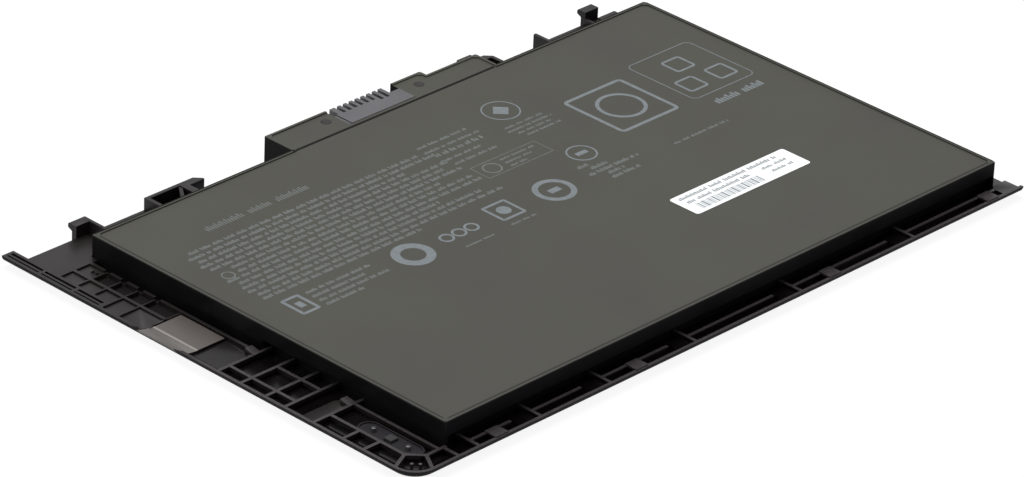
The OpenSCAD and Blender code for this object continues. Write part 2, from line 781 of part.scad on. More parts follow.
// Cross ribs, rail and pads of the front flange
module front_cells() {
    y0 = pack_y0 + rim_t / 2;
    y1 = -seat_gap;
    for (x = front_ribs) rib_y(x, y0, under_d - seat_gap);
    stops = concat([for (i = [1:len(front_ribs) - 1]) front_ribs[i]], [pack_x1]);
    for (i = [0:len(stops) - 1]) {
        x0 = front_ribs[i];
        x1 = stops[i];
        rail_y = -front_rail;
        block([x0, rail_y - rib_t / 2, root],
            [x1 - pad_w - rail_stop, rail_y + rib_t / 2, flange_h]);
        translate([0, y1, 0]) rotate([90, 0, 0]) linear_extrude(y1 - y0)
            polygon([[x1, root], [x1, flange_h - pad_drop], [x1 - pad_w, flange_h - pad_drop],
                [x1 - pad_w - pad_slope, root]]);
    }
}

// Latch blocks: two with sloping tops on the left, and low ones in front
module latch_blocks() {
    high = flange_h + latch_high;
    for (y = latch_ys)
        translate([-latch_in - latch_w / 2, y - rib_t / 2, 0])
            rotate([90, 0, 90]) linear_extrude(latch_w)
                polygon([[0, root], [latch_l, root], [latch_l, high], [0, high - latch_tilt]]);
    top = flange_h + latch_rise;
    for (x = front_blocks) {
        x0 = x - block_w / 2;
        x1 = x + block_w / 2;
        y1 = -front_rail + rib_t / 2;
        block([x0, pack_y0 + rim_t / 2, flange_h - pad_drop], [x1, y1, top]);
        block([x0, pack_y0 + slope_run - rim_t, root], [x1, y1, top]);
    }
}

// Hook whose bar overhangs to the rear, in section along X
module hook(x, w) {
    y = plate_end - seat_gap;
    post = y + hook_post;
    nose = post + hook_over;
    bar_z = hook_h - hook_bar;
    translate([x, 0, 0]) rotate([90, 0, 90]) linear_extrude(w)
        polygon([[y, root], [post, root], [post, bar_z - hook_slope], [nose, bar_z],
            [nose, hook_h - hook_nose], [nose - hook_nose, hook_h], [y, hook_h]]);
    block([x, y - rib_t, root], [x + w, post, skin_t + rib_t]);
}

// Open box behind the body, left of the connector housing
module rear_box() {
    y0 = body_w + seat_gap;
    x1 = box_x + box_l;
    cell_x1 = box_x + box_t + box_cell;
    difference() {
        slab([[box_x, y0], [x1, y0], [x1, plate_end - box_cut], [x1 - box_cut, plate_end],
            [box_x, plate_end]], root, hook_h);
        block([box_x + box_t, y0 + box_t, skin_t],
            [cell_x1, plate_end - box_t, hook_h + eps]);
        block([cell_x1 + box_web, y0 + box_t, skin_t],
            [x1 + eps, plate_end - box_cut - box_t / 2, hook_h + eps]);
    }
    rib_line([cell_x1 + box_t / 2, plate_end - box_t / 2],
        [cell_x1 - box_brace, y0 + box_t / 2], hook_h - brace_drop);
}

// Lug and two prongs right of the connector housing's step
module rear_lug() {
    x0 = step_x1 + seat_gap;
    x1 = step_x1 + lug_l;
    y0 = body_w + seat_gap;
    difference() {
        slab([[x0, y0], [x1, y0], [x1, plate_end - box_cut], [x1 - box_cut, plate_end],
            [x0, plate_end]], root, hook_h);
        block([x0 + box_t, y0 + box_t, skin_t],
            [x1 - box_t, plate_end - 2 * box_t, hook_h + eps]);
    }
    prong_x = step_x1 - prong_in;
    difference() {
        hook(prong_x, prong_w);
        translate([prong_x + prong_notch, plate_end + hook_post + hook_over, root])
            rotate([0, 0, 45]) cube([prong_notch, prong_notch, hook_h]);
    }
    block([prong_x, step_y + seat_gap, root], [x0 + box_t, plate_end, skin_t + rib_t]);
}

// Ledge, end rib and hook behind the body's right end
module right_ledge() {
    x0 = body_l - ledge_in;
    x1 = body_l - ledge_out;
    y0 = body_w + seat_gap;
    hook_x1 = body_l - right_hook_out;
    block([x0, y0, root], [x1, plate_end, flange_h]);
    block([hook_x1, plate_end - ledge_edge, root], [x1, plate_end, flange_h + latch_rise]);
    block([x0, y0, root], [x0 + rib_t, plate_end, hook_h]);
    web_x = hook_x1 - right_hook_w;
    block([web_x - rib_t / 2, y0, root], [web_x + rib_t / 2, plate_end, hook_web_h]);
    hook(hook_x1 - right_hook_w, right_hook_w);
}

// Lip inside the cover's walls, open towards the connector housing
module cover_lip() {
    o = wall_t + seat_gap;
    z0 = root;
    z1 = skin_t + lip_h;
    block([o, under_d + o, z0], [o + lip_t, under_y0 - o, z1]);
    block([o, under_y1 + o, z0], [o + lip_t, body_w - o, z1]);
    block([body_l - o - lip_t, under_d + o, z0], [body_l - o, body_w - o, z1]);
    block([o, body_w - o - lip_t, z0], [housing_x - wall_t, body_w - o, z1]);
    block([step_x1 + wall_t, body_w - o - lip_t, z0], [body_l - o, body_w - o, z1]);
}

// Ribs between the cells, posts for the board and stakes for the housing
module inner_supports() {
    for (i = [2:cells])
        block([cell_x(i) - (cell_gap + divider_t) / 2, cell_front, root],
            [cell_x(i) - (cell_gap - divider_t) / 2, cell_rear, skin_t + divider_h]);
    rest_y = (terrace_rear + board_y0) / 2;
    block([cell_side, rest_y - rib_t / 2, root],
        [cell_side + cells_l, rest_y + rib_t / 2, tab_z - insulator_t]);
    for (x = post_xs) translate([x, post_y, root]) {
        cylinder(d = post_d, h = tab_z - board_t - root);
        cylinder(d = pin_d, h = tab_z + pin_rise - root);
    }
    for (x = [bay_x + ear_post, bay_x1 - ear_post])
        translate([x, bay_y + ear_post, root]) cylinder(d = post_d, h = tab_z - board_t - root);
    for (p = stakes) translate([p[0], p[1], 0]) {
        translate([0, 0, root]) cylinder(d = stake_d, h = stake_z - root);
        translate([0, 0, stake_z]) cylinder(d = stake_head, h = stake_top - stake_z);
    }
    block([bay_x + conn_gap, housing_y - wall_t, root],
        [bay_x1 - conn_gap, housing_y, tab_z - board_t]);
}

// Pocket for the rubber foot: a raised bar inside the skin
module foot_pocket() {
    translate([-foot_x, foot_y, 0]) {
        translate([0, 0, root]) linear_extrude(foot_sunk + foot_wall - root)
            bar_outline(foot_w + 2 * foot_wall, foot_l + 2 * foot_wall);
        translate([0, 0, root]) linear_extrude(foot_sunk + foot_wall + ring_h - root)
            difference() {
                bar_outline(foot_w + 2 * foot_wall, foot_l + 2 * foot_wall);
                bar_outline(foot_w + foot_wall, foot_l + foot_wall);
            }
    }
}

// Recess and holes for the rubber foot
module foot_cuts() {
    translate([-foot_x, foot_y, 0]) {
        translate([0, 0, -eps]) linear_extrude(foot_sunk + eps)
            bar_outline(foot_w + 2 * pin_gap, foot_l + 2 * pin_gap);
        for (s = [-1, 1]) translate([0, s * peg_pitch / 2, 0])
            cylinder(d = peg_d + 2 * pin_gap, h = flange_h);
        stem = stem_w + 2 * pin_gap;
        translate([-stem / 2, -stem / 2, 0]) cube([stem, stem, flange_h]);
    }
}

// Moulded outer skin with its rim, rail, ribs, latches and hooks
module bottom_case() {
    color("#4b4648") placed() difference() {
        union() {
            difference() {
                swept_edge(pack_y1) edge_shell();
                scoop_cut();
                block([pack_x0 + rail_w, plate_end, -eps],
                    [pack_x0 + edge_run + eps, pack_y1 + eps, flange_h + eps]);
            }
            linear_extrude(skin_t) floor_outline();
            intersection() {
                flange_envelope();
                union() {
                    side_rail();
                    left_plates();
                    deep_cells();
                    corner_cells();
                    front_cells();
                    foot_pocket();
                }
            }
            latch_blocks();
            hook(hook_x, hook_w);
            block([hook_x + hook_w - rib_t, body_w + seat_gap, root],
                [hook_x + hook_w, plate_end, hook_h]);
            rear_box();
            rear_lug();
            right_ledge();
            cover_lip();
            inner_supports();
        }
        foot_cuts();
    }
}

// Room of the connector bay, open to the top and the rear
module bay_cut() {
    block([bay_x, bay_y, tab_z], [bay_x1, housing_y + eps, body_h + eps]);
    block([bay_x, housing_y - wall_t - eps, skin_t - eps],
        [bay_x1, housing_y + eps, body_h + eps]);
}

// Groove between the label and the connector housing's roof
module groove_cut() {
    y = body_w - groove_in;
    block([housing_x, y - groove_w / 2, field_z - groove_d],
        [housing_x1, y + groove_w / 2, body_h + eps]);
}

// Inner wall and top of the recess under the front and left walls
module under_walls() {
    inset = wall_t / 2;
    top = under_z + wall_t;
    block([inset, inset, skin_t], [body_l - inset, under_d + wall_t, top]);
    block([inset, under_y0 - wall_t, skin_t], [under_d + wall_t, under_y1 + wall_t, top]);
}

// Room of the recess under the front and left walls, where the ribs run in
module under_cut() {
    block([wall_t, -eps, skin_t - eps], [body_l - wall_t, under_d, under_z]);
    block([-eps, under_y0, skin_t - eps], [under_d, under_y1, under_z]);
}

// Walls, roof and rim over the cells and the board
module top_cover() {
    color("#141315") placed() difference() {
        union() {
            difference() {
                slab(cut_corners(body_outline(0), body_cut), skin_t, roof_z);
                slab(body_outline(wall_t), skin_t - eps, ceiling_z);
            }
            difference() {
                slab(cut_corners(body_outline(0), body_cut), roof_z - eps, cover_rim_z);
                slab(cut_corners(body_outline(rim_w), field_cut), roof_z, body_h);
            }
            for (x = [bay_x - wall_t, bay_x1])
                block([x, bay_y, tab_z + seat_gap], [x + wall_t, housing_y - eps, roof_z]);
            under_walls();
        }
        under_cut();
        bay_cut();
        groove_cut();
        for (p = stakes) translate([p[0], p[1], 0]) {
            cylinder(d = stake_d + 2 * pin_gap, h = body_h);
            translate([0, 0, stake_z]) cylinder(d = stake_head + 2 * pin_gap, h = body_h);
        }
    }
}

// Printed film that lines the field and the rim
module label_film() {
    inner = rim_w + film_t;
    color("#5c5b55") placed() difference() {
        slab(cut_corners(body_outline(film_inset), body_cut), roof_z, body_h);
        slab(cut_corners(body_outline(inner), field_cut), field_z, body_h + eps);
        difference() {
            slab(body_outline(-eps), roof_z - eps, cover_rim_z);
            slab(cut_corners(body_outline(rim_w), field_cut), roof_z - 2 * eps, body_h);
        }
        bay_cut();
        groove_cut();
        for (p = stakes) translate([p[0], p[1], roof_z - eps])
            cylinder(d = stake_head + 2 * pin_gap, h = body_h);
    }
}

// White sticker on the label
module white_sticker() {
    color("#eef0f2") placed() block([sticker_x, sticker_y, field_z],
        [sticker_x + sticker_l, sticker_y + sticker_w, field_z + sticker_t]);
}

// Rubber foot with two pegs and a square stem that snap into the skin
module rubber_foot() {
    color("#2a2a2b") placed() translate([-foot_x, foot_y, 0]) {
        translate([0, 0, -foot_proud]) linear_extrude(foot_proud + foot_sunk)
            bar_outline(foot_w, foot_l);
        peg_z = foot_sunk + foot_wall + peg_h;
        for (s = [-1, 1]) translate([0, s * peg_pitch / 2, 0]) cylinder(d = peg_d, h = peg_z);
        translate([-stem_w / 2, -stem_w / 2, 0]) cube([stem_w, stem_w, peg_z - stem_drop]);
    }
}

// Pouch cell: flat body, folded side seals and the terrace at its tabs
module cell(i) {
    z0 = skin_t + tape_t;
    z1 = z0 + cell_t;
    x0 = fold_t;
    x1 = cell_w - fold_t;
    fold_z = z0 + (cell_t - fold_h) / 2;
    terrace_z = tab_z + (tab_t - terrace_t) / 2;
    color("#b9bcc0") placed() translate([cell_x(i), 0, 0]) {
        translate([0, cell_rear, 0]) rotate([90, 0, 0]) linear_extrude(cell_l)
            polygon(cut_corners([[x0, z0], [x1, z0], [x1, z1], [x0, z1]], cell_cut));
        block([0, cell_front, fold_z], [cell_w, cell_rear, fold_z + fold_h]);
        block([x0, cell_rear, terrace_z], [x1, terrace_rear, terrace_z + terrace_t]);
    }
}

// Flat tab from the terrace of cell i to the board, with its middle at x
module cell_tab(i, x) {
    block([cell_x(i) + x - tab_w / 2, terrace_rear, tab_z],
        [cell_x(i) + x + tab_w / 2, tab_end, tab_z + tab_t]);
}

module negative_tab(i) {
    color("#c9a27a") placed() cell_tab(i, tab_neg);
}

module positive_tab(i) {
    color("#c4c8cc") placed() cell_tab(i, tab_pos);
}

// Nickel strip on the tabs between two places along the board
module nickel_strip(x0, x1) {
    color("#b8b4a6") placed()
        block([x0, strip_y1 - link_w, strip_z], [x1, strip_y1, strip_z + link_t]);
}

// Joins the positive tab of cell i to the negative tab of the next
module link_strip(i) {
    nickel_strip(cell_x(i) + tab_pos - tab_w / 2, cell_x(i + 1) + tab_neg + tab_w / 2);
}

module negative_end_strip() {
    x = cell_x(1) + tab_neg;
    nickel_strip(x - tab_w / 2, x + tab_w);
}

module positive_end_strip() {
    x = cell_x(cells) + tab_pos;
    nickel_strip(x - tab_w, x + tab_w / 2);
}

// Thermal cutoff on the strip at the pack's positive end
module thermal_cutoff() {
    x = cell_x(cells) + tab_pos - tab_w;
    z0 = strip_z + link_t;
    color("#2f2f33") placed()
        block([x, strip_y1 - link_w, z0], [x + cutoff_l, strip_y1, z0 + cutoff_t]);
}

// Double sided tape that holds a cell down
module cell_tape(i) {
    x0 = cell_x(i) + tape_in;
    x1 = cell_x(i) + cell_w - tape_in;
    color("#dcdad2") placed() block([x0, cell_front + tape_in, skin_t],
        [x1, cell_rear - tape_in, skin_t + tape_t]);
}

// Foam pad between a cell and the roof
module foam_pad(i) {
    x0 = cell_x(i) + foam_in;
    x1 = cell_x(i) + cell_w - foam_in;
    color("#3a3a3d") placed() block([x0, cell_front + foam_end, skin_t + tape_t + cell_t],
        [x1, cell_rear - foam_end, ceiling_z]);
}

// Insulating strip under the tabs, between the cells and the board
module tab_insulator() {
    color("#e8e2cf") placed() block([cell_side, terrace_rear + eps, tab_z - insulator_t],
        [cell_side + cells_l, board_y0 - eps, tab_z]);
}

// Polyimide tape over the nickel strips
module board_tape() {
    z0 = strip_z + link_t;
    color("#c98a2c") placed()
        block([cell_x(1) + tab_neg - tab_w / 2, strip_y1 - link_w, z0],
            [cell_x(cells) + tab_neg + tab_w, strip_y1, z0 + tape_film]);
}

// Resin bead with two flat leads, from a cell's terrace to the board
module thermistor(i) {
    x = cell_x(i) + (tab_neg + tab_pos) / 2;
    z0 = tab_z + (tab_t + terrace_t) / 2;
    bead_y1 = terrace_rear - lead_w;
    lead_y1 = strip_y1 - link_w - pin_gap;
    color("#1d2a4a") placed() {
        block([x - bead_w / 2, bead_y1 - bead_w, z0], [x + bead_w / 2, bead_y1, z0 + bead_h]);
        for (s = [-1, 1]) {
            x0 = x + (s * lead_pitch - lead_w) / 2;
            block([x0, bead_y1 - lead_w, z0], [x0 + lead_w, lead_y1, z0 + lead_w]);
            block([x0, lead_y1 - lead_w, tab_z], [x0 + lead_w, lead_y1, z0 + lead_w]);
        }
    }
}

module thermistor_left() {
    thermistor(2);
}

module thermistor_right() {
    thermistor(3);
}

// Board along the rear, with an ear under the connector
module protection_board() {
    z0 = tab_z - board_t;
    color("#1f5a3c") placed() difference() {
        union() {
            block([board_x, board_y0, z0], [board_x1, board_y1, tab_z]);
            block([ear_x0, board_y1 - eps, z0], [ear_x1, ear_y, tab_z]);
        }
        for (x = post_xs) translate([x, post_y, z0 - eps])
            cylinder(d = pin_d + 2 * pin_gap, h = board_t + 2 * eps);
    }
}

// Flat component on the board, with the left edge at x and its rear side at back
module chip(x, back, size, shade) {
    y = board_y1 - back - size[1];
    color(shade) placed() translate([x, y, tab_z]) cube(size);
}

module gauge_chip() {
    chip(board_x + gauge_in, gauge_back, gauge, "#1b1b1d");
}

module protector_chip() {
    chip(board_x + protector_in, chip_back, protector, "#1b1b1d");
}

module charge_mosfet() {
    chip(ear_x1 + mosfet_in, mosfet_back, mosfet, "#202022");
}

module discharge_mosfet() {
    chip(ear_x1 + mosfet_in + mosfet_pitch, mosfet_back, mosfet, "#202022");
}

module chip_fuse() {
    chip(ear_x1 + fuse_in, chip_back, fuse, "#e6e3da");
}

module sense_resistor() {
    chip(ear_x1 + shunt_in, chip_back, shunt, "#3b3b40");
}

// Row of small components, one every small_pitch
module small_row(back, size, shade) {
    for (k = [0:small_parts - 1])
        chip(board_x + small_in + k * small_pitch, back, size, shade);
}

module small_capacitors() {
    small_row(capacitor_back, capacitor, "#b59a6a");
}

module small_resistors() {
    small_row(resistor_back, resistor, "#2c2c2e");
}

// Left edge of the slot numbered i from 1
function slot_x(i) = bay_x + fin_in + fin_first + (i - 1) * slot_pitch;

// Slotted connector that stands on the board's ear
module connector_body() {
    x0 = bay_x + conn_gap;
    x1 = bay_x1 - conn_gap;
    y0 = bay_y + conn_gap;
    y1 = housing_y - conn_gap;
    top = body_h - conn_drop;
    fins_x1 = slot_x(slots) + slot_w + fin_last;
    color("#77767a") placed() difference() {
        union() {
            block([x0, y0, tab_z], [x1, y1, tab_z + conn_base]);
            block([x0, y0, tab_z], [x1, y1 - slot_l + end_drop, top]);
            block([bay_x + fin_in, y0, tab_z], [fins_x1, y1, top]);
        }
        block([x0 - eps, y0 - eps, top - end_drop], [bay_x + slot_w, y1 + eps, top + eps]);
        for (i = [1:slots]) {
            back = i > slots - 2 ? slot_l + slot_extra : slot_l;
            block([slot_x(i), y1 - back, tab_z + conn_base / 2],
                [slot_x(i) + slot_w, y1 + eps, top + eps]);
            half = tail_w / 2 + contact_gap;
            x = slot_x(i) + slot_w / 2;
            y = y1 - contact_in;
            block([x - half, y - half, tab_z - eps], [x + half, y + half, tab_z + conn_base]);
        }
    }
}

// Fork contact: two leaves, a base and a tail down to the board
module contact(i) {
    x = slot_x(i) + slot_w / 2;
    y = housing_y - conn_gap - contact_in;
    z0 = tab_z + conn_base / 2;
    half = slot_w / 2 - contact_gap;
    tail = tail_w / 2;
    color("#c8a24a") placed() {
        block([x - half, y - leaf_l / 2, z0], [x + half, y + leaf_l / 2, z0 + leaf_t]);
        block([x - tail, y - tail, tab_z], [x + tail, y + tail, z0 + leaf_t]);
        for (s = [-1, 1])
            translate([x + s * (half - leaf_t / 2) - leaf_t / 2, y - leaf_l / 2, z0])
                cube([leaf_t, leaf_l, leaf_h]);
    }
}

bottom_case();
top_cover();
label_film();
white_sticker();
rubber_foot();
for (i = [1:cells]) cell(i);
for (i = [1:cells]) negative_tab(i);
for (i = [1:cells]) positive_tab(i);
for (i = [1:cells - 1]) link_strip(i);
negative_end_strip();
positive_end_strip();
thermal_cutoff();
for (i = [1:cells]) cell_tape(i);
for (i = [1:cells]) foam_pad(i);
tab_insulator();
board_tape();
thermistor_left();
thermistor_right();
protection_board();
gauge_chip();
protector_chip();
charge_mosfet();
discharge_mosfet();
chip_fuse();
sense_resistor();
small_capacitors();
small_resistors();
connector_body();
for (i = [1:slots]) contact(i);
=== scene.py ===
"""Flat laptop battery: rounded mouldings, film, plain print, materials, camera and light.

Metres, +Z up, +X along the long side, +Y towards the connector. Places on the label are
in millimetres from the raised body's front left corner, as in the CAD source.
"""

import math

import bmesh
import bpy
from mathutils import Matrix, Vector


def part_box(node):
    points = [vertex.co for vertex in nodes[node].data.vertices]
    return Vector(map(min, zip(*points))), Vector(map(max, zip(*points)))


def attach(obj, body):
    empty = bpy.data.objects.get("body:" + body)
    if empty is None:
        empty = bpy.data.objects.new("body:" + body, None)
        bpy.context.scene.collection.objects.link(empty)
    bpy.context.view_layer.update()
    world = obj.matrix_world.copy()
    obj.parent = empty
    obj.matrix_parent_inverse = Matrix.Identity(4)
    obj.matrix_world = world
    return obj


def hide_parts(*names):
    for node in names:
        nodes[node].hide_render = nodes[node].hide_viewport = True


MM = 0.001

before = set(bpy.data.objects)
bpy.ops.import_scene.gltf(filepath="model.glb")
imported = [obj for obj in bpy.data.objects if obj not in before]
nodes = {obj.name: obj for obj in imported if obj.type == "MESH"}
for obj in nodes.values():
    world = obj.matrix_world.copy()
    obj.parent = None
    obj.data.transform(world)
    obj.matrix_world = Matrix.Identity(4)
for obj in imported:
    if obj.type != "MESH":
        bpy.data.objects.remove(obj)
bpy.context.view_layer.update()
scene = bpy.context.scene

# Shader nodes


def linear(code):
    """A hex colour as the eye reads it, turned into the light values that Cycles mixes."""
    parts = [int(code[i:i + 2], 16) / 255 for i in (1, 3, 5)]
    return [c / 12.92 if c <= 0.04045 else ((c + 0.055) / 1.055) ** 2.4 for c in parts] + [1]


def add(tree, kind, inputs=None, stops=None, **settings):
    """Adds one shader node: inputs are values or sockets, stops are a ramp's hex colours."""
    node = tree.nodes.new("ShaderNode" + kind)
    for name, value in settings.items():
        setattr(node, name, value)
    for place, (position, code) in enumerate(stops or ()):
        ramp = node.color_ramp.elements
        element = ramp[place] if place < 2 else ramp.new(position)
        element.position = position
        element.color = linear(code)
    for name, value in (inputs or {}).items():
        if isinstance(value, bpy.types.NodeSocket):
            tree.links.new(value, node.inputs[name])
        else:
            node.inputs[name].default_value = value
    return node


def start(name):
    """A new material, its empty tree and the object's own coordinates."""
    material = bpy.data.materials.new(name)
    material.use_nodes = True
    tree = material.node_tree
    tree.nodes.clear()
    return material, tree, add(tree, "TexCoord").outputs["Object"]


def finish(tree, inputs):
    """Ends a material with its shader."""
    shader = add(tree, "BsdfPrincipled", inputs)
    add(tree, "OutputMaterial", {"Surface": shader.outputs["BSDF"]})


def per_mm(size):
    """Texture scale at which one feature is about that many millimetres wide."""
    return 1 / (size * MM)


# Places

body_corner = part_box("top_cover")[0]
sticker_low, sticker_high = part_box("white_sticker")
field_top = sticker_low.z
rim_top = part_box("label_film")[1].z


def on_body(x, y):
    """A place in metres from millimetres counted from the body's front left corner."""
    return Vector((body_corner.x + x * MM, body_corner.y + y * MM, 0))


# Finishes


def moulded_plastic(name, dark, light, rough, shine, grain=0.45, depth=0.012):
    """Plastic, rubber, resin or ceramic from a mould: even colour, fine grain, even gloss.

    The real grain is about 0.1 mm, and it is drawn coarser here so that it shows. Grain and
    depth are in millimetres.
    """
    material, tree, place = start(name)
    cloud = add(tree, "TexNoise", {"Vector": place, "Scale": per_mm(14), "Detail": 3})
    colour = add(tree, "ValToRGB", {"Fac": cloud.outputs["Fac"]}, ((0.35, dark), (0.65, light)))
    sand = add(tree, "TexNoise", {"Vector": place, "Scale": per_mm(grain), "Detail": 2})
    bump = add(tree, "Bump", {"Height": sand.outputs["Fac"], "Strength": 0.5,
                              "Distance": depth * MM})
    gloss = add(tree, "MapRange", {"Value": cloud.outputs["Fac"], "From Min": 0.3,
                                   "From Max": 0.7, "To Min": rough - 0.04,
                                   "To Max": rough + 0.04})
    finish(tree, {"Base Color": colour.outputs["Color"], "Roughness": gloss.outputs["Result"],
                  "Specular IOR Level": shine, "Normal": bump.outputs["Normal"]})
    return material


def printed_film(name, low, high, rough, shine):
    """Matte polyester film: a faint large mottle from the adhesive, and a fine satin bloom."""
    material, tree, place = start(name)
    mottle = add(tree, "TexNoise", {"Vector": place, "Scale": per_mm(34), "Detail": 4,
                                    "Roughness": 0.6})
    colour = add(tree, "ValToRGB", {"Fac": mottle.outputs["Fac"]}, ((0.3, low), (0.7, high)))
    bloom = add(tree, "TexNoise", {"Vector": place, "Scale": per_mm(0.6), "Detail": 2})
    bump = add(tree, "Bump", {"Height": bloom.outputs["Fac"], "Strength": 0.35,
                              "Distance": 0.006 * MM})
    gloss = add(tree, "MapRange", {"Value": mottle.outputs["Fac"], "From Min": 0.3,
                                   "From Max": 0.7, "To Min": rough - 0.05,
                                   "To Max": rough + 0.05})
    finish(tree, {"Base Color": colour.outputs["Color"], "Roughness": gloss.outputs["Result"],
                  "Specular IOR Level": shine, "Normal": bump.outputs["Normal"]})
    return material


def screen_ink(name, thin, full):
    """Screen-printed ink: matte, with slightly thinner patches where the screen left less."""
    material, tree, place = start(name)
    patches = add(tree, "TexNoise", {"Vector": place, "Scale": per_mm(1.6), "Detail": 3})
    colour = add(tree, "ValToRGB", {"Fac": patches.outputs["Fac"]}, ((0.3, thin), (0.62, full)))
    finish(tree, {"Base Color": colour.outputs["Color"], "Roughness": 0.55,
                  "Specular IOR Level": 0.2})
    return material


def rolled_metal(name, dull, bright, rough, along):
    """Thin rolled strip: fine lines along the rolling direction, where 0 is x, 1 y and 2 z."""
    material, tree, place = start(name)
    stretch = [per_mm(0.25)] * 3
    stretch[along] = per_mm(12)
    lines = add(tree, "Mapping", {"Vector": place, "Scale": stretch})
    streak = add(tree, "TexNoise", {"Vector": lines.outputs["Vector"], "Scale": 1, "Detail": 3})
    colour = add(tree, "ValToRGB", {"Fac": streak.outputs["Fac"]}, ((0.3, dull), (0.7, bright)))
    gloss = add(tree, "MapRange", {"Value": streak.outputs["Fac"], "To Min": rough - 0.06,
                                   "To Max": rough + 0.1})
    finish(tree, {"Base Color": colour.outputs["Color"], "Metallic": 1,
                  "Roughness": gloss.outputs["Result"]})
    return material


def soft_sheet(name, low, high, fibre, rough, depth):
    """Paper, tape or foam: a matte sheet with a visible fibre or cell of that size.

    Fibres of tape and paper are finer than this, and they are drawn coarser so that they show.
    """
    material, tree, place = start(name)
    cells = add(tree, "TexVoronoi", {"Vector": place, "Scale": per_mm(fibre)})
    colour = add(tree, "ValToRGB", {"Fac": cells.outputs["Distance"]}, ((0.1, low), (0.8, high)))
    bump = add(tree, "Bump", {"Height": cells.outputs["Distance"], "Strength": 0.6,
                              "Distance": depth * MM})
    finish(tree, {"Base Color": colour.outputs["Color"], "Roughness": rough,
                  "Specular IOR Level": 0.2, "Normal": bump.outputs["Normal"]})
    return material


def pouch_laminate():
    """Aluminium laminate of a pouch cell: satin, faintly dimpled by the layers under it."""
    material, tree, place = start("pouch_laminate")
    dimples = add(tree, "TexNoise", {"Vector": place, "Scale": per_mm(9), "Detail": 4})
    colour = add(tree, "ValToRGB", {"Fac": dimples.outputs["Fac"]},
                 ((0.3, "#aeb1b5"), (0.7, "#c4c7ca")))
    bump = add(tree, "Bump", {"Height": dimples.outputs["Fac"], "Strength": 0.5,
                              "Distance": 0.2 * MM})
    finish(tree, {"Base Color": colour.outputs["Color"], "Metallic": 0.85, "Roughness": 0.38,
                  "Normal": bump.outputs["Normal"]})
    return material


def solder_mask():
    """Green solder mask over the traces of a fibreglass board."""
    material, tree, place = start("solder_mask")
    traces = add(tree, "TexBrick", {"Vector": place, "Scale": per_mm(1), "Brick Width": 3.2,
                                    "Row Height": 0.8, "Mortar Size": 0.08,
                                    "Color1": linear("#1d5739"), "Color2": linear("#1f5e3e"),
                                    "Mortar": linear("#2c7450")})
    bump = add(tree, "Bump", {"Height": traces.outputs["Fac"], "Strength": 0.5,
                              "Distance": 0.03 * MM})
    finish(tree, {"Base Color": traces.outputs["Color"], "Roughness": 0.3,
                  "Normal": bump.outputs["Normal"]})
    return material


def amber_polyimide():
    """Polyimide tape: clear amber film, glossy, with small wrinkles."""
    material, tree, place = start("amber_polyimide")
    wrinkles = add(tree, "TexNoise", {"Vector": place, "Scale": per_mm(3), "Detail": 3})
    colour = add(tree, "ValToRGB", {"Fac": wrinkles.outputs["Fac"]},
                 ((0.3, "#a8641a"), (0.7, "#d09334")))
    bump = add(tree, "Bump", {"Height": wrinkles.outputs["Fac"], "Strength": 0.4,
                              "Distance": 0.05 * MM})
    finish(tree, {"Base Color": colour.outputs["Color"], "Roughness": 0.18,
                  "Normal": bump.outputs["Normal"]})
    return material


# Height over the floor at which the skin's height ramps end, in millimetres
HEIGHT_RAMP_TOP = 5


